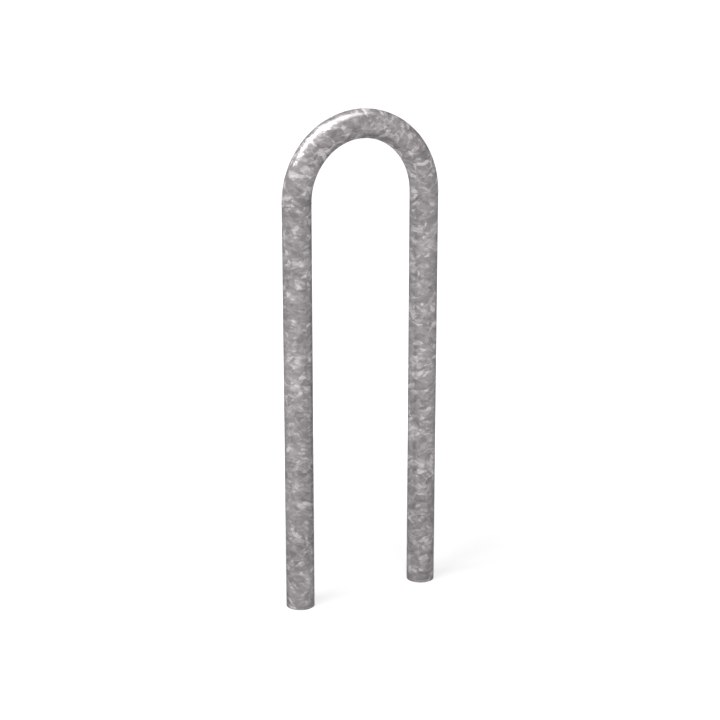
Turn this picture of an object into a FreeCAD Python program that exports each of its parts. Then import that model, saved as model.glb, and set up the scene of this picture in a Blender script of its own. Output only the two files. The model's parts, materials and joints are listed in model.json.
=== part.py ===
"""Hoop bike rack: an inverted U of galvanised steel tube, cast into the ground by its two legs.

Lengths are in millimetres and angles in degrees.
The frame stands midway between the cut ends of the two legs: X runs from the left leg
to the right leg, Y is square to the plane of the hoop, and Z points up.

The hoop is put together from four lengths of one tube. Two straight legs carry two
quarter bends, which meet at the crown. Each of the three butt joints has a V groove
that is filled with weld metal, so every weld is a ring and a piece of its own.
"""

import FreeCAD, Part
import math
import os

import Sketcher

# The driving sizes, each of which can be changed by itself.
SIZES = {
    "tube_diameter": 60.0,
    "wall_thickness": 3.0,
    "leg_spacing": 300.0,
    "leg_length": 865.0,
    "root_gap": 2.0,
    "root_face": 1.0,
    "bevel_angle": 30.0,
    "weld_cap": 0.4,
    "root_bead": 0.6,
    "end_chamfer": 0.5,
}

# Sizes that follow from the driving ones, as expressions that read the sheet.
OUTER_RADIUS = "Sizes.tube_diameter / 2"
INNER_RADIUS = "Sizes.tube_diameter / 2 - Sizes.wall_thickness"
ROOT_RADIUS = "Sizes.tube_diameter / 2 - Sizes.wall_thickness + Sizes.root_face"
BEND_RADIUS = "Sizes.leg_spacing / 2"
HALF_GAP = "Sizes.root_gap / 2"
INSIDE_BORE = "Sizes.tube_diameter / 2 - 2 * Sizes.wall_thickness"
OUTSIDE_TUBE = "Sizes.tube_diameter / 2 + Sizes.wall_thickness"
BEVEL = "Sizes.bevel_angle * 1 deg"
HALF_WELD = f"({HALF_GAP} + (Sizes.wall_thickness - Sizes.root_face) * tan({BEVEL}))"
CAP_ARC = f"({HALF_WELD} ^ 2 + Sizes.weld_cap ^ 2) / (2 * Sizes.weld_cap)"
BEAD_ARC = "((Sizes.root_gap / 2) ^ 2 + Sizes.root_bead ^ 2) / (2 * Sizes.root_bead)"

# The same sizes as numbers, from which the sketches start before their dimensions bind them.
OUTER = SIZES["tube_diameter"] / 2
INNER = OUTER - SIZES["wall_thickness"]
ROOT = INNER + SIZES["root_face"]
RADIUS = SIZES["leg_spacing"] / 2
GAP = SIZES["root_gap"] / 2
SLOPE = math.tan(math.radians(SIZES["bevel_angle"]))
OVERREACH = SIZES["wall_thickness"]

QUARTER_TURN = 90.0
HALF_TURN = 180.0
FULL_TURN = 360.0
NO_TURN = 0.0
UP = FreeCAD.Vector(0, 0, 1)

# The numbers that a sketch gives to its axis and origin, and to the points of a line or circle.
ACROSS = -1
ORIGIN = -1
START = 1
END = 2
CENTRE = 3


def point(across, along):
    """Give a point of a sketch."""
    return FreeCAD.Vector(across, along, 0)


def make_sheet(document):
    """Write the driving sizes into a spreadsheet, one named cell each."""
    sheet = document.addObject("Spreadsheet::Sheet", "Sizes")
    for row, (name, value) in enumerate(SIZES.items(), start=1):
        sheet.set(f"A{row}", name)
        sheet.set(f"B{row}", str(value))
        sheet.setAlias(f"B{row}", name)
    document.recompute()


def make_body(document, name, turn, place):
    """Start a sub-part and set it in the hoop, with its place bound to the sizes."""
    body = document.addObject("PartDesign::Body", name)
    body.Label = name
    body.Placement = FreeCAD.Placement(FreeCAD.Vector(), FreeCAD.Rotation(UP, turn))
    for axis, expression in place.items():
        body.setExpression("Placement.Base." + axis, expression)
    return body


def make_sketch(body, name, plane_role):
    """Add an empty sketch on one of the sub-part's own origin planes."""
    sketch = body.newObject("Sketcher::SketchObject", name)
    planes = {feature.Role: feature for feature in body.Origin.OriginFeatures}
    sketch.AttachmentSupport = (planes[plane_role], [""])
    sketch.MapMode = "FlatFace"
    return sketch


def draw_line(sketch, start, end):
    """Draw a straight line, and give its number in the sketch."""
    return sketch.addGeometry(Part.LineSegment(start, end), False)


def draw_arc(sketch, start, crest, end):
    """Draw an arc through three points, and give its number in the sketch."""
    return sketch.addGeometry(Part.Arc(start, crest, end), False)


def join_ends(sketch, lines):
    """Close a chain of lines and arcs, each one starting where the last one ends."""
    for here, following in zip(lines, lines[1:] + lines[:1]):
        sketch.addConstraint(Sketcher.Constraint("Coincident", here, END, following, START))


def bind(sketch, name, constraint, expression):
    """Add a named dimension to a sketch, and bind its value to an expression."""
    number = sketch.addConstraint(constraint)
    sketch.renameConstraint(number, name)
    sketch.setExpression("Constraints." + name, expression)


def bind_across(sketch, name, line, end, value, expression):
    """Bind how far a point lies from the sketch's origin along its X axis."""
    constraint = Sketcher.Constraint("DistanceX", ORIGIN, START, line, end, value)
    bind(sketch, name, constraint, expression)


def bind_along(sketch, name, line, end, value, expression):
    """Bind how far a point lies from the sketch's origin along its Y axis."""
    constraint = Sketcher.Constraint("DistanceY", ORIGIN, START, line, end, value)
    bind(sketch, name, constraint, expression)


def draw_tube_section(sketch, centre):
    """Draw the two circles of the tube about one centre, and give the outer one's number."""
    outside = sketch.addGeometry(Part.Circle(centre, UP, OUTER), False)
    bore = sketch.addGeometry(Part.Circle(centre, UP, INNER), False)
    sketch.addConstraint(Sketcher.Constraint("Coincident", bore, CENTRE, outside, CENTRE))
    bind(sketch, "outer_radius", Sketcher.Constraint("Radius", outside, OUTER), OUTER_RADIUS)
    bind(sketch, "bore_radius", Sketcher.Constraint("Radius", bore, INNER), INNER_RADIUS)
    return outside


def cut_weld_groove(body, name, turn, joint):
    """Cut one end of a tube back to half the root gap, and bevel its wall for welding.

    The sketch stands on the plane of the hoop, with its origin where the tube's axis meets
    the joint. Its Y axis runs into the tube, so that one profile serves every end. The
    cutter reaches past the wall and past the joint by one wall thickness.
    """
    tube = body.Tip
    sketch = make_sketch(body, name + "_profile", "XZ_Plane")
    sketch.AttachmentOffset = FreeCAD.Placement(FreeCAD.Vector(), FreeCAD.Rotation(UP, turn))
    for axis, expression in joint.items():
        sketch.setExpression("AttachmentOffset.Base." + axis, expression)

    bore_start = point(INNER - OVERREACH, -OVERREACH)
    bore_end = point(INNER - OVERREACH, GAP)
    bevel_start = point(ROOT, GAP)
    bevel_end = point(OUTER + OVERREACH, GAP + (OUTER + OVERREACH - ROOT) * SLOPE)
    outside_end = point(OUTER + OVERREACH, -OVERREACH)
    bore_side = draw_line(sketch, bore_start, bore_end)
    root_side = draw_line(sketch, bore_end, bevel_start)
    bevel_side = draw_line(sketch, bevel_start, bevel_end)
    outer_side = draw_line(sketch, bevel_end, outside_end)
    joint_side = draw_line(sketch, outside_end, bore_start)
    join_ends(sketch, [bore_side, root_side, bevel_side, outer_side, joint_side])
    for line in (bore_side, outer_side):
        sketch.addConstraint(Sketcher.Constraint("Vertical", line))
    for line in (root_side, joint_side):
        sketch.addConstraint(Sketcher.Constraint("Horizontal", line))

    bind_across(sketch, "inside_bore", bore_side, START, INNER - OVERREACH, INSIDE_BORE)
    bind_across(sketch, "root_radius", root_side, END, ROOT, ROOT_RADIUS)
    bind_across(sketch, "outside_tube", outer_side, END, OUTER + OVERREACH, OUTSIDE_TUBE)
    bind_along(sketch, "half_gap", root_side, END, GAP, HALF_GAP)
    past_joint = Sketcher.Constraint("DistanceY", joint_side, START, ORIGIN, START, OVERREACH)
    bind(sketch, "past_joint", past_joint, "Sizes.wall_thickness")
    bevel = Sketcher.Constraint("Angle", bevel_side, math.radians(SIZES["bevel_angle"]))
    bind(sketch, "bevel_angle", bevel, BEVEL)

    groove = body.newObject("PartDesign::Groove", name)
    groove.Profile = sketch
    groove.ReferenceAxis = (sketch, ["V_Axis"])
    groove.Angle = FULL_TURN
    body.Document.recompute()
    if groove.Shape.Volume >= tube.Shape.Volume:
        raise RuntimeError(f"{body.Label}: {name} cuts nothing")


def break_foot_edges(leg):
    """Take the burr off the outer and inner edge of a leg's cut end."""
    tube = leg.Tip
    foot_edges = []
    for number, edge in enumerate(tube.Shape.Edges, start=1):
        if isinstance(edge.Curve, Part.Circle) and edge.Curve.Center.z == 0:
            foot_edges.append(f"Edge{number}")
    chamfer = leg.newObject("PartDesign::Chamfer", "broken_foot_edges")
    chamfer.Base = (tube, foot_edges)
    chamfer.setExpression("Size", "Sizes.end_chamfer")


def make_leg(document, name, turn, place):
    """Make a straight leg, from its cut end at the foot to the joint with its bend."""
    leg = make_body(document, name, turn, place)
    section = make_sketch(leg, "tube_section", "XY_Plane")
    outside = draw_tube_section(section, point(0, 0))
    section.addConstraint(Sketcher.Constraint("Coincident", outside, CENTRE, ORIGIN, START))
    tube = leg.newObject("PartDesign::Pad", "tube")
    tube.Profile = section
    tube.setExpression("Length", "Sizes.leg_length")
    document.recompute()
    cut_weld_groove(leg, "shoulder_groove", HALF_TURN, {"y": "Sizes.leg_length"})
    break_foot_edges(leg)
    return leg


def make_bend(document, name, turn):
    """Make a quarter bend, from its joint with the leg to the joint at the crown."""
    bend = make_body(document, name, turn, {"z": "Sizes.leg_length"})
    section = make_sketch(bend, "tube_section", "XY_Plane")
    outside = draw_tube_section(section, point(-RADIUS, 0))
    section.addConstraint(Sketcher.Constraint("PointOnObject", outside, CENTRE, ACROSS))
    to_axis = Sketcher.Constraint("DistanceX", outside, CENTRE, ORIGIN, START, RADIUS)
    bind(section, "bend_radius", to_axis, BEND_RADIUS)
    tube = bend.newObject("PartDesign::Revolution", "tube")
    tube.Profile = section
    tube.ReferenceAxis = (section, ["V_Axis"])
    tube.Angle = QUARTER_TURN
    document.recompute()
    cut_weld_groove(bend, "shoulder_groove", NO_TURN, {"x": "-" + BEND_RADIUS})
    cut_weld_groove(bend, "crown_groove", QUARTER_TURN, {"y": BEND_RADIUS})
    return bend


def draw_weld_section(sketch):
    """Draw the section of a weld: the V between two bevels, with its cap and its root bead.

    X runs out from the tube's axis and Y along it, and the two halves mirror each other.
    """
    reach = GAP + (OUTER - ROOT) * SLOPE
    cap_crest = point(OUTER + SIZES["weld_cap"], 0)
    bead_crest = point(INNER - SIZES["root_bead"], 0)
    near_face = draw_line(sketch, point(INNER, -GAP), point(ROOT, -GAP))
    near_bevel = draw_line(sketch, point(ROOT, -GAP), point(OUTER, -reach))
    cap = draw_arc(sketch, point(OUTER, -reach), cap_crest, point(OUTER, reach))
    far_bevel = draw_line(sketch, point(OUTER, reach), point(ROOT, GAP))
    far_face = draw_line(sketch, point(ROOT, GAP), point(INNER, GAP))
    bead = draw_arc(sketch, point(INNER, GAP), bead_crest, point(INNER, -GAP))
    join_ends(sketch, [near_face, near_bevel, cap, far_bevel, far_face, bead])
    for near, far in ((near_face, far_face), (near_bevel, far_bevel)):
        mirror = Sketcher.Constraint("Symmetric", near, START, far, END, ACROSS)
        sketch.addConstraint(mirror)
    sketch.addConstraint(Sketcher.Constraint("Symmetric", near_bevel, END, far_bevel, START, ACROSS))
    sketch.addConstraint(Sketcher.Constraint("Horizontal", far_face))

    bind_across(sketch, "bore_radius", far_face, END, INNER, INNER_RADIUS)
    bind_across(sketch, "root_radius", far_face, START, ROOT, ROOT_RADIUS)
    bind_across(sketch, "outer_radius", cap, END, OUTER, OUTER_RADIUS)
    bind_along(sketch, "half_gap", far_face, END, GAP, HALF_GAP)
    bind_along(sketch, "half_weld", cap, END, reach, HALF_WELD)
    cap_radius = Sketcher.Constraint("Radius", cap, sketch.Geometry[cap].Radius)
    bind(sketch, "cap_arc", cap_radius, CAP_ARC)
    bead_radius = Sketcher.Constraint("Radius", bead, sketch.Geometry[bead].Radius)
    bind(sketch, "bead_arc", bead_radius, BEAD_ARC)


def make_weld(document, name, turn, joint):
    """Make the ring of weld metal that fills one joint, about the tube's axis there.

    The tube stands upright at the shoulders, as the sketch's Y axis does. At the crown the
    tube lies along X, so the sketch is given a quarter turn on its plane.
    """
    weld = make_body(document, name, NO_TURN, joint)
    sketch = make_sketch(weld, "weld_section", "XZ_Plane")
    sketch.AttachmentOffset = FreeCAD.Placement(FreeCAD.Vector(), FreeCAD.Rotation(UP, turn))
    draw_weld_section(sketch)
    ring = weld.newObject("PartDesign::Revolution", "ring")
    ring.Profile = sketch
    ring.ReferenceAxis = (sketch, ["V_Axis"])
    ring.Angle = FULL_TURN
    return weld


def make_hoop(document):
    """Make every sub-part of the hoop, from the feet up to the crown."""
    left = "-" + BEND_RADIUS
    right = BEND_RADIUS
    crown = "Sizes.leg_length + " + BEND_RADIUS
    return [
        make_leg(document, "left_leg", NO_TURN, {"x": left}),
        make_leg(document, "right_leg", HALF_TURN, {"x": right}),
        make_weld(document, "left_shoulder_weld", NO_TURN, {"x": left, "z": "Sizes.leg_length"}),
        make_weld(document, "right_shoulder_weld", NO_TURN, {"x": right, "z": "Sizes.leg_length"}),
        make_bend(document, "left_bend", NO_TURN),
        make_bend(document, "right_bend", HALF_TURN),
        make_weld(document, "crown_weld", QUARTER_TURN, {"z": crown}),
    ]


def check(document, pieces):
    """Stop if any object of the document failed, or if a sub-part isn't one sound solid."""
    for item in document.Objects:
        if "Invalid" in item.State or "Error" in item.State:
            raise RuntimeError(f"{item.Label} is {item.State}")
    for piece in pieces:
        shape = piece.Shape
        if shape.isNull() or not shape.isValid() or len(shape.Solids) != 1:
            raise RuntimeError(f"{piece.Label} is not one sound solid")


def write_pieces(pieces):
    """Write each sub-part to a file of its own, and print what it measures."""
    os.makedirs("parts", exist_ok=True)
    for piece in pieces:
        box = piece.Shape.optimalBoundingBox()
        volume = piece.Shape.Volume
        print(f"{piece.Label}: volume {volume:.1f}, x {box.XMin:.2f} to {box.XMax:.2f}, "
              f"y {box.YMin:.2f} to {box.YMax:.2f}, z {box.ZMin:.2f} to {box.ZMax:.2f}")
        piece.Shape.exportStep(os.path.join("parts", piece.Label + ".step"))


def main():
    """Build the hoop, check it and write its files."""
    document = FreeCAD.newDocument("HoopRack")
    make_sheet(document)
    pieces = make_hoop(document)
    document.recompute()
    check(document, pieces)
    write_pieces(pieces)


main()
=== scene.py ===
"""Looks of the hoop bike rack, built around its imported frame. All lengths are in metres.

Every tube and weld is modelled again at the frame's own sizes, with a fine round mesh, a
softened cut end and a rippled weld bead, and gets a hot-dip galvanised finish.
"""

import json
import logging
import math
from collections.abc import Sequence
from dataclasses import dataclass
from enum import Enum
from typing import Any

import bmesh
import bpy
from mathutils import Matrix, Vector


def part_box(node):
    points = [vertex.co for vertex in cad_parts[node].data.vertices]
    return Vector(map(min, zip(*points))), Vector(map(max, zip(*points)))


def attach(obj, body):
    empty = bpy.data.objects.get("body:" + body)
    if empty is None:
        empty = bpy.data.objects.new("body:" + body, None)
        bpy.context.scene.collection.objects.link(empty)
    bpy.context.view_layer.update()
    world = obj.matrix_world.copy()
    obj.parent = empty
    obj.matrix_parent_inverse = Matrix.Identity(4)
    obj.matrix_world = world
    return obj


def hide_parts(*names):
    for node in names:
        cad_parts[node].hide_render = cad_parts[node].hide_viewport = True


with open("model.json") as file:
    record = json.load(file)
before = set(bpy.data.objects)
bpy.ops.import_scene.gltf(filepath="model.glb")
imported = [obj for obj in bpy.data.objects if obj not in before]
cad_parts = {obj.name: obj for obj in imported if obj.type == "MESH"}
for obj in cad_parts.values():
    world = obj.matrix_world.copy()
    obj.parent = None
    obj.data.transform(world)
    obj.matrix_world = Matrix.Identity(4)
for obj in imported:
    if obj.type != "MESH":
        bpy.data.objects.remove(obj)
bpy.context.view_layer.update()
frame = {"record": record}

LOG = logging.getLogger("hoop")
MM = 0.001
ROUND = 128
BEND_STEPS = 72
FULL_TURN = 2 * math.pi
QUARTER_TURN = math.pi / 2
SMOOTH_LIMIT = math.radians(35)
WELD_BEVEL = math.radians(30)
MERGE_DISTANCE = 0.00001
MIX_COLOUR_A = 6
MIX_COLOUR_B = 7
MIX_COLOUR_RESULT = 2
WHITE = (1.0, 1.0, 1.0, 1.0)
UP = Vector((0, 0, 1))
ALONG_Y = Vector((0, 1, 0))


class Slot(Enum):
    """The record's material slots."""

    TUBE = "galvanised_tube"
    WELD = "galvanised_weld"


class Side(Enum):
    """The two sides of the hoop, as the sign of X."""

    LEFT = -1
    RIGHT = 1


@dataclass(frozen=True)
class HoopSizes:
    """Sizes that the pieces share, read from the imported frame."""

    outer: float
    bore: float
    root: float
    half_spacing: float
    shoulder: float
    half_gap: float
    half_weld: float
    cap: float

    @classmethod
    def from_frame(cls, record: dict[str, Any]) -> "HoopSizes":
        """Read the sizes off the boxes of the nodes and the mounts.

        Args:
            record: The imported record.

        Returns:
            The sizes of the hoop.
        """
        leg_low, leg_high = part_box("left_leg")
        weld_low, weld_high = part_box("left_shoulder_weld")
        mounts = {mount["name"]: mount for mount in record["mounts"]}
        outer = mounts["left_root"]["dims"]["r_mm"] * MM
        bore = mounts["left_bore"]["dims"]["r_mm"] * MM
        shoulder = (weld_low.z + weld_high.z) / 2
        half_gap = shoulder - leg_high.z
        half_weld = (weld_high.z - weld_low.z) / 2
        return cls(
            outer=outer,
            bore=bore,
            root=outer - (half_weld - half_gap) / math.tan(WELD_BEVEL),
            half_spacing=-(leg_low.x + leg_high.x) / 2,
            shoulder=shoulder,
            half_gap=half_gap,
            half_weld=half_weld,
            cap=(weld_high.y - weld_low.y) / 2 - outer,
        )


@dataclass
class Wiring:
    """A node tree that is being wired up.

    The Mix node has several sockets of each name, so its colour sockets go by number.
    """

    tree: bpy.types.NodeTree

    def feed(self, node: bpy.types.Node, socket: str | int, value: Any) -> None:
        """Give a node's input a value, or a link where the value is another node's output.

        Args:
            node: The node.
            socket: The input's name or number.
            value: A plain value, or another node's output.
        """
        target = node.inputs[socket]
        if isinstance(value, bpy.types.NodeSocket):
            self.tree.links.new(value, target)
        else:
            target.default_value = value

    def add(self, kind: str, inputs: dict[str | int, Any], **settings: Any) -> bpy.types.Node:
        """Add a node.

        Args:
            kind: The node's type, without its ShaderNode prefix.
            inputs: Values or outputs for its inputs, by name or number.
            **settings: Properties of the node itself.

        Returns:
            The new node.
        """
        node = self.tree.nodes.new("ShaderNode" + kind)
        for name, value in settings.items():
            setattr(node, name, value)
        for socket, value in inputs.items():
            self.feed(node, socket, value)
        return node

    def math(self, operation: str, first: Any, second: Any = 0.0) -> bpy.types.NodeSocket:
        """Work out one sum on two numbers."""
        return self.add("Math", {0: first, 1: second}, operation=operation).outputs[0]

    def multiply_add(self, value: Any, factor: Any, addend: Any) -> bpy.types.NodeSocket:
        """Multiply a value by a factor, and add to it."""
        inputs = {0: value, 1: factor, 2: addend}
        return self.add("Math", inputs, operation="MULTIPLY_ADD").outputs[0]

    def vector(self, operation: str, first: Any, second: Any) -> bpy.types.NodeSocket:
        """Work out one sum on two vectors, or scale a vector by a number.

        Args:
            operation: The sum, by its name in the node.
            first: The first vector.
            second: The second vector, or the number to scale by.

        Returns:
            The resulting vector.
        """
        second_socket = "Scale" if operation == "SCALE" else 1
        inputs = {0: first, second_socket: second}
        return self.add("VectorMath", inputs, operation=operation).outputs[0]

    def step(self, value: Any, low: Any, high: Any) -> bpy.types.NodeSocket:
        """Rise smoothly from 0 to 1 as a value goes from low to high.

        Args:
            value: The value.
            low: Where the rise starts.
            high: Where it ends.

        Returns:
            The risen value.
        """
        inputs = {"Value": value, "From Min": low, "From Max": high}
        node = self.add("MapRange", inputs, interpolation_type="SMOOTHSTEP")
        return node.outputs["Result"]

    def tint(self, colour: Any, tint: Any) -> bpy.types.NodeSocket:
        """Multiply a colour by a tint.

        Args:
            colour: The colour.
            tint: The tint, which is white where it leaves the colour as it is.

        Returns:
            The tinted colour.
        """
        inputs = {"Factor": 1.0, MIX_COLOUR_A: colour, MIX_COLOUR_B: tint}
        node = self.add("Mix", inputs, data_type="RGBA", blend_type="MULTIPLY")
        return node.outputs[MIX_COLOUR_RESULT]

    def cloud(self, place: Any, size: float, detail: float) -> bpy.types.NodeSocket:
        """Add soft noise from 0 to 1 whose patches are about one size."""
        inputs = {"Vector": place, "Scale": 1 / size, "Detail": detail}
        return self.add("TexNoise", inputs).outputs["Fac"]


class Group:
    """A shader node group that is built once and placed in several materials."""

    name = "group"
    inputs: tuple[tuple[str, str], ...] = ()
    outputs: tuple[tuple[str, str], ...] = ()

    def __init__(self) -> None:
        """Make the group with its named sockets, and wire its inside."""
        self.tree = bpy.data.node_groups.new(self.name, "ShaderNodeTree")
        for name, kind in self.inputs:
            self.tree.interface.new_socket(name, in_out="INPUT", socket_type=kind)
        for name, kind in self.outputs:
            self.tree.interface.new_socket(name, in_out="OUTPUT", socket_type=kind)
        self.wiring = Wiring(self.tree)
        self.entry = self.tree.nodes.new("NodeGroupInput").outputs
        self.exit = self.tree.nodes.new("NodeGroupOutput")
        self.wire()

    def wire(self) -> None:
        """Wire the inside of the group."""
        raise NotImplementedError

    def place(self, wiring: Wiring, values: dict[str | int, Any]) -> bpy.types.Node:
        """Place the group in a material, with values or outputs for its inputs."""
        return wiring.add("Group", values, node_tree=self.tree)


class SpangleGroup(Group):
    """Zinc crystals: flat angular cells that tilt one way within each patch of the coat.

    Shade and Glint are random numbers from 0 to 1 for each crystal, which blend a little
    into the next crystal's. Facet is the way that a crystal leans.
    """

    name = "zinc_spangle"
    inputs = (
        ("Place", "NodeSocketVector"),
        ("Patch Size", "NodeSocketFloat"),
        ("Crystal Size", "NodeSocketFloat"),
        ("Flatness", "NodeSocketFloat"),
        ("Tilt", "NodeSocketFloat"),
        ("Ragged", "NodeSocketFloat"),
        ("Softness", "NodeSocketFloat"),
    )
    outputs = (
        ("Shade", "NodeSocketFloat"),
        ("Glint", "NodeSocketFloat"),
        ("Facet", "NodeSocketVector"),
    )
    middle = (0.5, 0.5, 0.5)
    level = (1.0, 1.0, 0.0)
    tear_detail = 3.0

    def wire(self) -> None:
        """Wire the warp, the patches and the crystals."""
        wiring = self.wiring
        scale = wiring.math("DIVIDE", 1.0, self.entry["Crystal Size"])
        noise = {"Vector": self.entry["Place"], "Scale": scale, "Detail": self.tear_detail}
        tears = wiring.add("TexNoise", noise)
        shift = wiring.vector("SUBTRACT", tears.outputs["Color"], self.middle)
        shift = wiring.vector("SCALE", shift, self.entry["Ragged"])
        place = wiring.vector("ADD", self.entry["Place"], shift)

        patch_scale = wiring.math("DIVIDE", 1.0, self.entry["Patch Size"])
        patch = wiring.add("TexVoronoi", {"Vector": place, "Scale": patch_scale})
        lean = wiring.vector("SUBTRACT", patch.outputs["Color"], self.middle)
        axis = wiring.vector("MULTIPLY", lean, self.level)
        chance = wiring.add("SeparateColor", {0: patch.outputs["Color"]})
        angle = wiring.math("MULTIPLY", chance.outputs["Blue"], self.entry["Tilt"])
        turn = {"Vector": place, "Axis": axis, "Angle": angle}
        turned = wiring.add("VectorRotate", turn, rotation_type="AXIS_ANGLE").outputs[0]
        squeeze = wiring.add("CombineXYZ", {0: 1.0, 1: 1.0, 2: self.entry["Flatness"]}).outputs[0]
        flat = wiring.vector("MULTIPLY", turned, squeeze)

        cells = {"Vector": flat, "Scale": scale, "Smoothness": self.entry["Softness"]}
        crystal = wiring.add("TexVoronoi", cells, feature="SMOOTH_F1")
        luck = wiring.add("SeparateColor", {0: crystal.outputs["Color"]})
        facet = wiring.vector("SUBTRACT", crystal.outputs["Color"], self.middle)
        wiring.feed(self.exit, "Shade", luck.outputs["Green"])
        wiring.feed(self.exit, "Glint", luck.outputs["Red"])
        wiring.feed(self.exit, "Facet", facet)


class LeanGroup(Group):
    """Leans the surface's own normal by a small part of a vector."""

    name = "crystal_lean"
    inputs = (("Facet", "NodeSocketVector"), ("Lean", "NodeSocketFloat"))
    outputs = (("Normal", "NodeSocketVector"),)

    def wire(self) -> None:
        """Wire the lean."""
        wiring = self.wiring
        surface = wiring.add("NewGeometry", {}).outputs["Normal"]
        push = wiring.vector("SCALE", self.entry["Facet"], self.entry["Lean"])
        leaned = wiring.vector("ADD", surface, push)
        normal = wiring.add("VectorMath", {0: leaned}, operation="NORMALIZE").outputs[0]
        wiring.feed(self.exit, "Normal", normal)


@dataclass(frozen=True)
class Layer:
    """One size of zinc crystals, and how much its shades and bright shards show in the coat."""

    crystal_size: float
    weight: float
    shards: float
    softness: float
    offset: tuple[float, float, float] = (0.0, 0.0, 0.0)


MIDDLE_TONE = 0.5
MIDDLE_LAYER = (3.0, 5.0, 7.0)
SMALL_LAYER = (11.0, 2.0, 9.0)
COARSE_CRYSTALS = (
    Layer(0.036, 0.26, shards=0.20, softness=0.30),
    Layer(0.021, 0.32, shards=0.24, softness=0.25, offset=MIDDLE_LAYER),
    Layer(0.011, 0.18, shards=0.12, softness=0.20, offset=SMALL_LAYER),
)
FINE_CRYSTALS = (
    Layer(0.033, 0.25, shards=0.12, softness=0.35),
    Layer(0.020, 0.30, shards=0.26, softness=0.30, offset=MIDDLE_LAYER),
    Layer(0.011, 0.20, shards=0.16, softness=0.25, offset=SMALL_LAYER),
)


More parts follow.
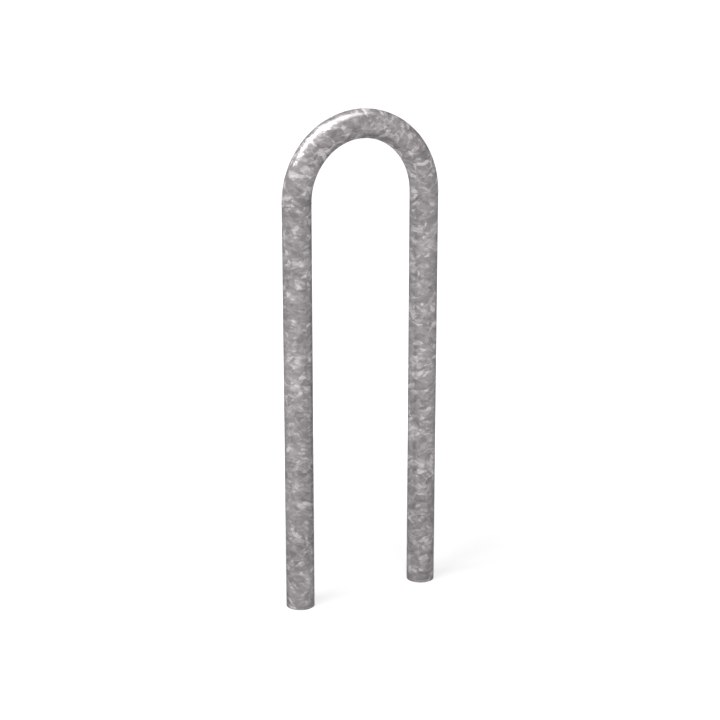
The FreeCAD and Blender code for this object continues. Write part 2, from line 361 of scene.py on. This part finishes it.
@dataclass(frozen=True)
class ZincFinish:
    """Hot-dip galvanised steel: cloudy grey with overlapping crystals, a few of them bright."""

    name: str
    layers: tuple[Layer, ...] = COARSE_CRYSTALS
    stops: tuple[tuple[float, float], ...] = (
        (0.20, 0.200),
        (0.36, 0.255),
        (0.50, 0.305),
        (0.61, 0.365),
        (0.70, 0.450),
        (0.82, 0.560),
    )
    warmth: tuple[float, float, float, float] = (1.03, 0.97, 0.985, 1.0)
    edge_tint: tuple[float, float, float, float] = (0.28, 0.30, 0.295, 1.0)
    specular_level: float = 0.04
    start: tuple[float, float, float] = (0.4, 0.1, 0.3)
    patch_size: float = 0.040
    flatness: float = 2.6
    tilt: float = 1.0
    ragged: float = 0.7
    cloud_size: float = 0.045
    cloud_detail: float = 4.0
    cloud_weight: float = 0.22
    grain_size: float = 0.0014
    grain_detail: float = 2.0
    grain_weight: float = 0.06
    grain_depth: float = 0.00005
    grain_strength: float = 0.25
    shard_start: float = 0.72
    shard_full: float = 0.84
    contrast: float = 1.0
    lift: float = 0.0
    metallic: float = 0.5
    roughness: tuple[float, float] = (0.28, 0.42)
    lean: float = 0.04

    def material(self, spangle: SpangleGroup, lean: LeanGroup) -> bpy.types.Material:
        """Make the material.

        Args:
            spangle: The group that gives the crystals.
            lean: The group that leans the normal.

        Returns:
            The finished material.
        """
        made = bpy.data.materials.new(self.name)
        made.use_nodes = True
        wiring = Wiring(made.node_tree)
        shader = made.node_tree.nodes["Principled BSDF"]
        place = wiring.add("TexCoord", {}).outputs["Object"]
        place = wiring.vector("ADD", place, self.start)
        crystals = [self.crystals(wiring, spangle, place, layer) for layer in self.layers]
        grain = wiring.cloud(place, self.grain_size, self.grain_detail)

        ramp = self.ramp(wiring, self.tone(wiring, place, grain, crystals))
        wiring.feed(shader, "Base Color", wiring.tint(ramp, self.warmth))

        low, high = self.roughness
        glint = crystals[1].outputs["Glint"]
        rough = wiring.add("MapRange", {"Value": glint, "To Min": low, "To Max": high})
        wiring.feed(shader, "Roughness", rough.outputs["Result"])
        shader.inputs["Metallic"].default_value = self.metallic
        shader.inputs["Specular Tint"].default_value = self.edge_tint
        shader.inputs["Specular IOR Level"].default_value = self.specular_level

        facets = wiring.vector("ADD", crystals[0].outputs["Facet"], crystals[1].outputs["Facet"])
        leaned = lean.place(wiring, {"Facet": facets, "Lean": self.lean})
        bump = wiring.add("Bump", {
            "Strength": self.grain_strength,
            "Distance": self.grain_depth,
            "Height": grain,
            "Normal": leaned.outputs["Normal"],
        })
        wiring.feed(shader, "Normal", bump.outputs["Normal"])
        return made

    def tone(
        self, wiring: Wiring, place: bpy.types.NodeSocket, grain: bpy.types.NodeSocket,
        crystals: list[bpy.types.Node],
    ) -> bpy.types.NodeSocket:
        """Add up how light the coat is from its clouds, its grain and its layers of crystals.

        Args:
            wiring: The material's wiring.
            place: The point on the tube.
            grain: The fine noise of the coat.
            crystals: The group's node for each layer.

        Returns:
            The tone, which is about half at the coat's middle grey.
        """
        cloud = wiring.cloud(place, self.cloud_size, self.cloud_detail)
        balance = -MIDDLE_TONE * (self.cloud_weight + self.grain_weight)
        tone = wiring.multiply_add(cloud, self.cloud_weight, balance)
        tone = wiring.multiply_add(grain, self.grain_weight, tone)
        for layer, crystal in zip(self.layers, crystals):
            tone = wiring.multiply_add(crystal.outputs["Shade"], layer.weight, tone)
            bright = wiring.step(crystal.outputs["Glint"], self.shard_start, self.shard_full)
            tone = wiring.multiply_add(bright, layer.shards, tone)
        # Lift lightens a whole coat. On the bends and the right leg it is painted light.
        centred = MIDDLE_TONE * (1 - self.contrast) + self.lift
        return wiring.multiply_add(tone, self.contrast, centred)

    def crystals(
        self, wiring: Wiring, spangle: SpangleGroup, place: bpy.types.NodeSocket, layer: Layer,
    ) -> bpy.types.Node:
        """Place one layer of crystals.

        Args:
            wiring: The material's wiring.
            spangle: The group that gives the crystals.
            place: The point on the tube.
            layer: The layer's size and softness.

        Returns:
            The group's node.
        """
        return spangle.place(wiring, {
            "Place": wiring.vector("ADD", place, layer.offset),
            "Patch Size": self.patch_size,
            "Crystal Size": layer.crystal_size,
            "Flatness": self.flatness,
            "Tilt": self.tilt,
            "Ragged": self.ragged * layer.crystal_size,
            "Softness": layer.softness,
        })

    def ramp(self, wiring: Wiring, tone: bpy.types.NodeSocket) -> bpy.types.NodeSocket:
        """Turn the coat's tone into its greys.

        Args:
            wiring: The material's wiring.
            tone: How light the coat is here.

        Returns:
            The grey.
        """
        node = wiring.add("ValToRGB", {0: tone})
        elements = node.color_ramp.elements
        while len(elements) < len(self.stops):
            elements.new(MIDDLE_TONE)
        for element, (position, grey) in zip(elements, self.stops):
            element.position = position
            element.color = (grey, grey, grey, 1.0)
        return node.outputs[0]


@dataclass
class Piece:
    """A named piece of the hoop that stands for one node of the frame."""

    name: str
    slot: Slot
    sizes: HoopSizes

    def mesh(self) -> bmesh.types.BMesh:
        """Build the piece's mesh in its place."""
        raise NotImplementedError

    def build(self, finish: bpy.types.Material) -> bpy.types.Object:
        """Make the piece's object, dress it and set it in the frame.

        Args:
            finish: The material of the whole piece.

        Returns:
            The finished object.
        """
        shape = self.mesh()
        bmesh.ops.remove_doubles(shape, verts=shape.verts, dist=MERGE_DISTANCE)
        bmesh.ops.recalc_face_normals(shape, faces=shape.faces)
        for face in shape.faces:
            face.smooth = True
        for edge in shape.edges:
            edge.smooth = edge.calc_face_angle(0.0) < SMOOTH_LIMIT
        data = bpy.data.meshes.new(self.name + "_skin")
        shape.to_mesh(data)
        shape.free()
        data.materials.append(finish)
        made = bpy.data.objects.new(self.name + "_skin", data)
        bpy.context.scene.collection.objects.link(made)
        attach(made, "root")
        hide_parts(self.name)
        LOG.info("%s: %d faces", made.name, len(data.polygons))
        return made


def add_circle(shape: bmesh.types.BMesh, radius: float, place: Matrix) -> list[bmesh.types.BMEdge]:
    """Add a ring of edges about a place's own Z axis, and give its edges."""
    made = bmesh.ops.create_circle(shape, segments=ROUND, radius=radius, matrix=place)
    return list({edge for vert in made["verts"] for edge in vert.link_edges})


def spin_section(
    section: Sequence[tuple[float, float]], centre: Vector, steps: int,
) -> bmesh.types.BMesh:
    """Spin a closed section a full turn about an upright axis.

    Args:
        section: The corners of the section, as distances out from the axis and up along it.
        centre: A point of the axis.
        steps: The number of steps in the turn.

    Returns:
        A new mesh with the ring or tube.
    """
    shape = bmesh.new()
    corners = [shape.verts.new(centre + Vector((across, 0, along))) for across, along in section]
    for corner, following in zip(corners, corners[1:] + corners[:1]):
        shape.edges.new((corner, following))
    bmesh.ops.spin(
        shape, geom=list(shape.verts) + list(shape.edges), cent=centre, axis=UP,
        angle=FULL_TURN, steps=steps, use_merge=True,
    )
    return shape


@dataclass
class Leg(Piece):
    """A straight leg: an open tube, its foot cut square and its top bevelled for the weld."""

    side: Side
    rim: float = 0.0007
    rim_segments: int = 3

    def centre(self) -> Vector:
        """Give the middle of the leg's cut end."""
        return Vector((self.side.value * self.sizes.half_spacing, 0, 0))

    def mesh(self) -> bmesh.types.BMesh:
        """Spin the section of the wall round the tube's axis, and soften the rim of the foot.

        Returns:
            The leg's mesh.
        """
        sizes = self.sizes
        centre = self.centre()
        section = (
            (sizes.bore, 0.0),
            (sizes.outer, 0.0),
            (sizes.outer, sizes.shoulder - sizes.half_weld),
            (sizes.root, sizes.shoulder - sizes.half_gap),
            (sizes.bore, sizes.shoulder - sizes.half_gap),
        )
        shape = spin_section(section, centre, ROUND)
        foot = [edge for edge in shape.edges if self.is_rim(edge)]
        bmesh.ops.bevel(
            shape, geom=foot, offset=self.rim, segments=self.rim_segments, profile=0.5,
            affect="EDGES", material=-1,
        )
        return shape

    def is_rim(self, edge: bmesh.types.BMEdge) -> bool:
        """Tell whether an edge runs round the tube at the foot.

        Args:
            edge: An edge of the leg's mesh.

        Returns:
            True for an edge of the inner or outer rim.
        """
        height = max(vert.co.z for vert in edge.verts)
        centre = self.centre()
        near, far = [(vert.co - centre).length for vert in edge.verts]
        return height < MERGE_DISTANCE and abs(near - far) < MERGE_DISTANCE


@dataclass
class Bend(Piece):
    """A quarter bend, from its joint with the leg to its joint at the crown."""

    side: Side

    def sweep_wall(self, shape: bmesh.types.BMesh, radius: float, setback: float) -> None:
        """Sweep one wall of the bend, and cut it back from both joints.

        Args:
            shape: The mesh to add to.
            radius: The wall's radius about the tube's axis.
            setback: How far the wall stops short of each joint.
        """
        sizes = self.sizes
        sign = self.side.value
        start = Vector((sign * sizes.half_spacing, 0, sizes.shoulder))
        centre = Vector((0, 0, sizes.shoulder))
        wall = bmesh.new()
        ring = add_circle(wall, radius, Matrix.Translation(start))
        verts = list({vert for edge in ring for vert in edge.verts})
        bmesh.ops.spin(
            wall, geom=verts + ring, cent=centre, axis=-sign * ALONG_Y,
            angle=QUARTER_TURN, steps=BEND_STEPS,
        )
        cuts = (
            (centre + setback * UP, -UP),
            (Vector((sign * setback, 0, 0)), Vector((-sign, 0, 0))),
        )
        for point, outwards in cuts:
            geometry = list(wall.verts) + list(wall.edges) + list(wall.faces)
            bmesh.ops.bisect_plane(
                wall, geom=geometry, plane_co=point, plane_no=outwards, clear_outer=True,
            )
        data = bpy.data.meshes.new("wall")
        wall.to_mesh(data)
        wall.free()
        shape.from_mesh(data)
        bpy.data.meshes.remove(data)

    def mesh(self) -> bmesh.types.BMesh:
        """Sweep the outer and inner wall, and close both ends with their weld bevels.

        Returns:
            The bend's mesh.
        """
        sizes = self.sizes
        sign = self.side.value
        shape = bmesh.new()
        self.sweep_wall(shape, sizes.outer, sizes.half_weld)
        self.sweep_wall(shape, sizes.bore, sizes.half_gap)
        foot = Vector((sign * sizes.half_spacing, 0, sizes.shoulder + sizes.half_gap))
        crown = Vector((sign * sizes.half_gap, 0, sizes.shoulder + sizes.half_spacing))
        for centre in (foot, crown):
            self.close_end(shape, centre)
        return shape

    def close_end(self, shape: bmesh.types.BMesh, centre: Vector) -> None:
        """Close one end with the flat root face round its bore and the bevel round that.

        Args:
            shape: The bend's mesh, open at this end.
            centre: The middle of the root face.
        """
        sizes = self.sizes
        rims = [edge for edge in shape.edges if edge.is_boundary and self.is_near(edge, centre)]
        outer = [edge for edge in rims if (edge.verts[0].co - centre).length > sizes.root]
        bore = [edge for edge in rims if (edge.verts[0].co - centre).length < sizes.root]
        made = bmesh.ops.extrude_edge_only(shape, edges=bore)["geom"]
        bmesh.ops.scale(
            shape, vec=(sizes.root / sizes.bore,) * 3, space=Matrix.Translation(-centre),
            verts=[item for item in made if isinstance(item, bmesh.types.BMVert)],
        )
        root = [item for item in made if isinstance(item, bmesh.types.BMEdge) and item.is_boundary]
        bmesh.ops.bridge_loops(shape, edges=outer + root)

    def is_near(self, edge: bmesh.types.BMEdge, centre: Vector) -> bool:
        """Tell whether an edge belongs to the tube's end round a centre."""
        return (edge.verts[0].co - centre).length < 2 * self.sizes.outer


@dataclass
class Weld(Piece):
    """A dressed butt weld: a low ring with faint ripples, a little proud inside and out."""

    centre: Vector
    upright: bool = True
    bead: float = 0.0006
    cap_steps: int = 10
    bead_steps: int = 6
    ripples: int = 60
    steps_per_ripple: int = 6
    ripple_depth: float = 0.00016
    ripple_lag: float = 1.1

    def section(self) -> list[tuple[float, float]]:
        """Give the ring's section, as distances out from the tube's axis and along it.

        Returns:
            The corners of the section, in order.
        """
        sizes = self.sizes
        points = []
        for step in range(self.cap_steps + 1):
            along = -1 + 2 * step / self.cap_steps
            points.append((sizes.outer + sizes.cap * (1 - along ** 2), along * sizes.half_weld))
        points.append((sizes.root, sizes.half_gap))
        for step in range(self.bead_steps + 1):
            along = 1 - 2 * step / self.bead_steps
            points.append((sizes.bore - self.bead * (1 - along ** 2), along * sizes.half_gap))
        points.append((sizes.root, -sizes.half_gap))
        return points

    def mesh(self) -> bmesh.types.BMesh:
        """Spin the section round the tube's axis, ripple its cap and set the ring in the joint.

        Returns:
            The weld's mesh.
        """
        steps = self.ripples * self.steps_per_ripple
        shape = spin_section(self.section(), Vector(), steps)
        for vert in shape.verts:
            self.ripple(vert)
        place = Matrix.Translation(self.centre)
        if not self.upright:
            place = place @ Matrix.Rotation(QUARTER_TURN, 4, "Y")
        bmesh.ops.transform(shape, matrix=place, verts=shape.verts)
        return shape

    def ripple(self, vert: bmesh.types.BMVert) -> None:
        """Sink a point of the cap by the crescent ripple that it lies in.

        Args:
            vert: A point of the ring, which stands upright about the origin.
        """
        sizes = self.sizes
        reach = math.hypot(vert.co.x, vert.co.y)
        proud = (reach - sizes.outer) / sizes.cap
        if proud <= 0:
            return
        turn = math.atan2(vert.co.y, vert.co.x)
        phase = self.ripples * turn + self.ripple_lag * FULL_TURN * proud
        sink = self.ripple_depth * proud * (1 - math.cos(phase)) / 2
        shrink = (reach - sink) / reach
        vert.co.x *= shrink
        vert.co.y *= shrink


@dataclass
class Hoop:
    """The whole hoop: two legs, two bends and the three welds that join them."""

    sizes: HoopSizes

    def build(self) -> None:
        """Build and dress every piece, from the feet up to the crown."""
        sizes = self.sizes
        spangle = SpangleGroup()
        lean = LeanGroup()
        leg_finishes = {
            Side.LEFT: ZincFinish(
                "zinc_on_left_leg", layers=FINE_CRYSTALS, start=(6.3, 0.2, 2.8), flatness=2.5,
                contrast=0.84,
            ),
            # The right leg's lift paints its zinc a little lighter than the left leg's, as painted
            # light that evens out the far leg's shade.
            Side.RIGHT: ZincFinish(
                "zinc_on_right_leg_painted_lighter", start=(0.9, 4.1, 2.3), contrast=0.84, lift=0.025,
            ),
        }
        # The bends' lift paints their zinc lighter than the legs', as painted light falling from
        # above on the arc.
        bend_zinc_painted_lighter = ZincFinish("zinc_on_bends_painted_lighter", lift=0.06).material(spangle, lean)
        weld_zinc = ZincFinish(
            "zinc_on_welds", lift=0.05, roughness=(0.42, 0.55),
        ).material(spangle, lean)
        for side in Side:
            name = side.name.lower()
            leg_zinc = leg_finishes[side].material(spangle, lean)
            Leg(name + "_leg", Slot.TUBE, sizes, side=side).build(leg_zinc)
            Bend(name + "_bend", Slot.TUBE, sizes, side=side).build(bend_zinc_painted_lighter)
            joint = Vector((side.value * sizes.half_spacing, 0, sizes.shoulder))
            Weld(name + "_shoulder_weld", Slot.WELD, sizes, centre=joint).build(weld_zinc)
        crown = Vector((0, 0, sizes.shoulder + sizes.half_spacing))
        Weld("crown_weld", Slot.WELD, sizes, centre=crown, upright=False).build(weld_zinc)


class LampUse(Enum):
    """What a lamp does: it lights the hoop, or it is mirrored in the metal as a streak."""

    LIGHT = "light"
    STREAK = "streak"


@dataclass(frozen=True)
class AreaLamp:
    """A soft box that points at one spot of the hoop."""

    name: str
    azimuth: float
    elevation: float
    distance: float
    width: float
    height: float
    power: float
    use: LampUse = LampUse.LIGHT
    target: tuple[float, float, float] = (0.0, 0.0, 0.6)
    roll: float = 0.0

    def build(self) -> None:
        """Make the lamp, facing its target."""
        data = bpy.data.lights.new(self.name, "AREA")
        data.shape = "RECTANGLE"
        data.size = self.width
        data.size_y = self.height
        data.energy = self.power
        lamp = bpy.data.objects.new(self.name, data)
        lamp.visible_glossy = self.use is LampUse.STREAK
        lamp.visible_diffuse = self.use is LampUse.LIGHT
        bpy.context.scene.collection.objects.link(lamp)
        back = direction(self.azimuth, self.elevation)
        lamp.location = Vector(self.target) + self.distance * back
        turn = (-back).to_track_quat("-Z", "Y").to_matrix().to_4x4()
        turn = turn @ Matrix.Rotation(math.radians(self.roll), 4, "Z")
        lamp.rotation_euler = turn.to_euler()


def direction(azimuth: float, elevation: float) -> Vector:
    """Give the direction from the hoop towards a viewer or lamp.

    Args:
        azimuth: Degrees round from -Y towards +X.
        elevation: Degrees above the horizon.

    Returns:
        A unit vector.
    """
    around = math.radians(azimuth)
    above = math.radians(elevation)
    level = math.cos(above)
    return Vector((math.sin(around) * level, -math.cos(around) * level, math.sin(above)))


@dataclass(frozen=True)
class PhotoCamera:
    """The camera at the photograph's angle."""

    azimuth: float = -30.015
    elevation: float = 15.288
    distance: float = 3.518
    target: tuple[float, float, float] = (-0.0037, 0.0, 0.5209)
    lens_mm: float = 84.05
    sensor_mm: float = 36.0

    def build(self) -> None:
        """Make the camera and hand it to the scene."""
        data = bpy.data.cameras.new("photo_camera")
        data.lens = self.lens_mm
        data.sensor_width = self.sensor_mm
        camera = bpy.data.objects.new("photo_camera", data)
        bpy.context.scene.collection.objects.link(camera)
        back = direction(self.azimuth, self.elevation)
        camera.location = Vector(self.target) + self.distance * back
        camera.rotation_euler = (-back).to_track_quat("-Z", "Y").to_euler()
        bpy.context.scene.camera = camera


@dataclass(frozen=True)
class Studio:
    """A white room: a plain pale floor, soft lamps and an even surround.

    The floor's glow is seen by the camera and by metal that mirrors it. For the camera it fades
    towards the hoop, where the lamps already make the floor white, so that the shadow shows.
    """

    floor_radius: float = 30.0
    floor_glow: float = 1.05
    glow_by_hoop: float = 0.68
    mirrored_by_hoop: float = 0.75
    fade_start: float = 0.35
    fade_end: float = 1.2
    floor_colour: tuple[float, float, float, float] = (0.50, 0.50, 0.50, 1.0)
    surround: float = 0.22
    surround_seen: float = 1.05
    lamps: tuple[AreaLamp, ...] = (
        AreaLamp("left_softbox", azimuth=-80, elevation=45, distance=3.0, width=2.0, height=1.6,
                 power=73),
        AreaLamp("front_softbox", azimuth=-20, elevation=30, distance=3.0, width=2.0, height=1.6,
                 power=38),
        AreaLamp("overhead_strip", azimuth=-127, elevation=75, distance=2.0, width=0.72,
                 height=3.3, power=108, roll=9, target=(-0.047, 0.029, 0.966),
                 use=LampUse.STREAK),
    )

    def build(self) -> None:
        """Make the floor, the surround and the lamps."""
        self.build_floor()
        self.build_surround()
        for lamp in self.lamps:
            lamp.build()

    def rays(self, wiring: Wiring) -> tuple[bpy.types.NodeSocket, bpy.types.NodeSocket]:
        """Tell which rays see the room.

        Args:
            wiring: The wiring of the floor or the surround.

        Returns:
            Whether a ray comes from the camera, and whether it comes from metal or glass that
            mirrors the room.
        """
        path = wiring.add("LightPath", {}).outputs
        mirrored = wiring.math("MAXIMUM", path["Is Glossy Ray"], path["Is Transmission Ray"])
        return path["Is Camera Ray"], mirrored

    def build_floor(self) -> None:
        """Make a round white floor that keeps the hoop's soft shadow."""
        shape = bmesh.new()
        bmesh.ops.create_circle(shape, segments=ROUND, radius=self.floor_radius, cap_ends=True)
        data = bpy.data.meshes.new("floor")
        shape.to_mesh(data)
        shape.free()
        floor = bpy.data.objects.new("floor", data)
        bpy.context.scene.collection.objects.link(floor)
        finish = bpy.data.materials.new("white_floor")
        finish.use_nodes = True
        wiring = Wiring(finish.node_tree)
        shader = finish.node_tree.nodes["Principled BSDF"]
        shader.inputs["Base Color"].default_value = self.floor_colour
        shader.inputs["Roughness"].default_value = 1.0
        shader.inputs["Specular IOR Level"].default_value = 0.0
        shader.inputs["Emission Color"].default_value = WHITE
        place = wiring.add("TexCoord", {}).outputs["Object"]
        away = wiring.add("VectorMath", {0: place}, operation="LENGTH").outputs["Value"]
        direct, mirrored = self.rays(wiring)
        direct = wiring.math("MULTIPLY", direct, self.glow(wiring, away, self.glow_by_hoop))
        mirrored = wiring.math("MULTIPLY", mirrored, self.glow(wiring, away, self.mirrored_by_hoop))
        wiring.feed(shader, "Emission Strength", wiring.math("MAXIMUM", direct, mirrored))
        data.materials.append(finish)

    def glow(
        self, wiring: Wiring, away: bpy.types.NodeSocket, by_hoop: float,
    ) -> bpy.types.NodeSocket:
        """Fade the floor's glow towards the hoop.

        Args:
            wiring: The floor's wiring.
            away: The distance from the middle of the floor.
            by_hoop: The glow's strength at the hoop.

        Returns:
            The glow's strength at this point of the floor.
        """
        return wiring.add("MapRange", {
            "Value": away,
            "From Min": self.fade_start,
            "From Max": self.fade_end,
            "To Min": by_hoop,
            "To Max": self.floor_glow,
        }, interpolation_type="SMOOTHSTEP").outputs["Result"]

    def build_surround(self) -> None:
        """Make a surround that is white where it is seen and softer as a light."""
        world = bpy.data.worlds.new("white_room")
        world.use_nodes = True
        wiring = Wiring(world.node_tree)
        background = world.node_tree.nodes["Background"]
        background.inputs["Color"].default_value = WHITE
        seen = wiring.math("MAXIMUM", *self.rays(wiring))
        inputs = {"Value": seen, "To Min": self.surround, "To Max": self.surround_seen}
        strength = wiring.add("MapRange", inputs).outputs["Result"]
        wiring.feed(background, "Strength", strength)
        bpy.context.scene.world = world


def main() -> None:
    """Build the hoop, the camera and the room."""
    logging.basicConfig(level=logging.INFO, format="%(name)s: %(message)s")
    PhotoCamera().build()
    Hoop(HoopSizes.from_frame(frame["record"])).build()
    Studio().build()
    bpy.context.scene.view_settings.view_transform = "Standard"


if __name__ == "__main__":
    main()
